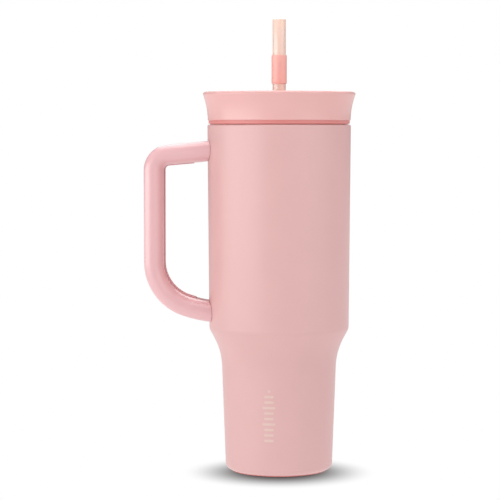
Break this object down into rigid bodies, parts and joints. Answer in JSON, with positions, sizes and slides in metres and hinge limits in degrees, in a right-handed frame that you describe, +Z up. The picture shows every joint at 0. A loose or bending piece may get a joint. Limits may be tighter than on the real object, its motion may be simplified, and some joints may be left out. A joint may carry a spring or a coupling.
{
  "type": "insulated tumbler with lid",
  "caption": "Double-walled vacuum tumbler that narrows below a shoulder, with a side handle, a push-in lid with a turning sip shutter and a sliding two-piece straw.",
  "frame": {"origin": "centre of the base pad's resting face, on the cup's axis", "axes": "+Z up along the cup's axis, -X towards the handle, +Y towards the lid's sip opening"},
  "size_m": [0.1517, 0.11, 0.3238],
  "materials": {
    "cup_coat": "fine powder coat, matt",
    "liner_steel": "electropolished",
    "copper_foil": "bright foil",
    "base_steel": "satin",
    "seal_glass": "fused bead",
    "getter": "sintered",
    "coral_silicone": "soft satin",
    "handle_plastic": "satin",
    "grip_rubber": "matt",
    "bracket_steel": "plain",
    "screw_steel": "zinc plated",
    "lid_plastic": "fine satin",
    "shutter_plastic": "fine satin",
    "straw_plastic": "semi-clear gloss"
  },
  "bodies": {
    "cup": {"outer_shell": "cup_coat", "liner_tube": "liner_steel", "liner_floor": "liner_steel", "copper_wrap": "copper_foil", "base_disc": "base_steel", "vacuum_seal": "seal_glass", "getter_holder": "base_steel", "getter_pellet": "getter", "base_pad": "coral_silicone", "handle_shell": "handle_plastic", "grip_strip": "grip_rubber", "upper_bracket": "bracket_steel", "lower_bracket": "bracket_steel", "handle_screws": "screw_steel", "screw_caps": "handle_plastic"},
    "lid": {"lid_body": "lid_plastic", "rim_seal": "coral_silicone", "plug_seal": "coral_silicone", "straw_grommet": "coral_silicone", "shutter_retainer": "lid_plastic"},
    "shutter": {"shutter": "shutter_plastic", "shutter_seal": "coral_silicone"},
    "straw": {"lower_straw": "straw_plastic", "straw_collar": "coral_silicone", "upper_straw": "straw_plastic"}
  },
  "joints": [
    {"name": "lid_lift", "type": "slide", "parent": "cup", "child": "lid", "axis": [0, 0, 1], "range_m": [0, 0.06]},
    {"name": "shutter_turn", "type": "hinge", "parent": "lid", "child": "shutter", "pos_m": [0, 0, 0.2561], "axis": [0, 0, 1], "range_deg": [0, 60]},
    {"name": "straw_slide", "type": "slide", "parent": "lid", "child": "straw", "axis": [0, 0, 1], "range_m": [0, 0.2]}
  ]
}
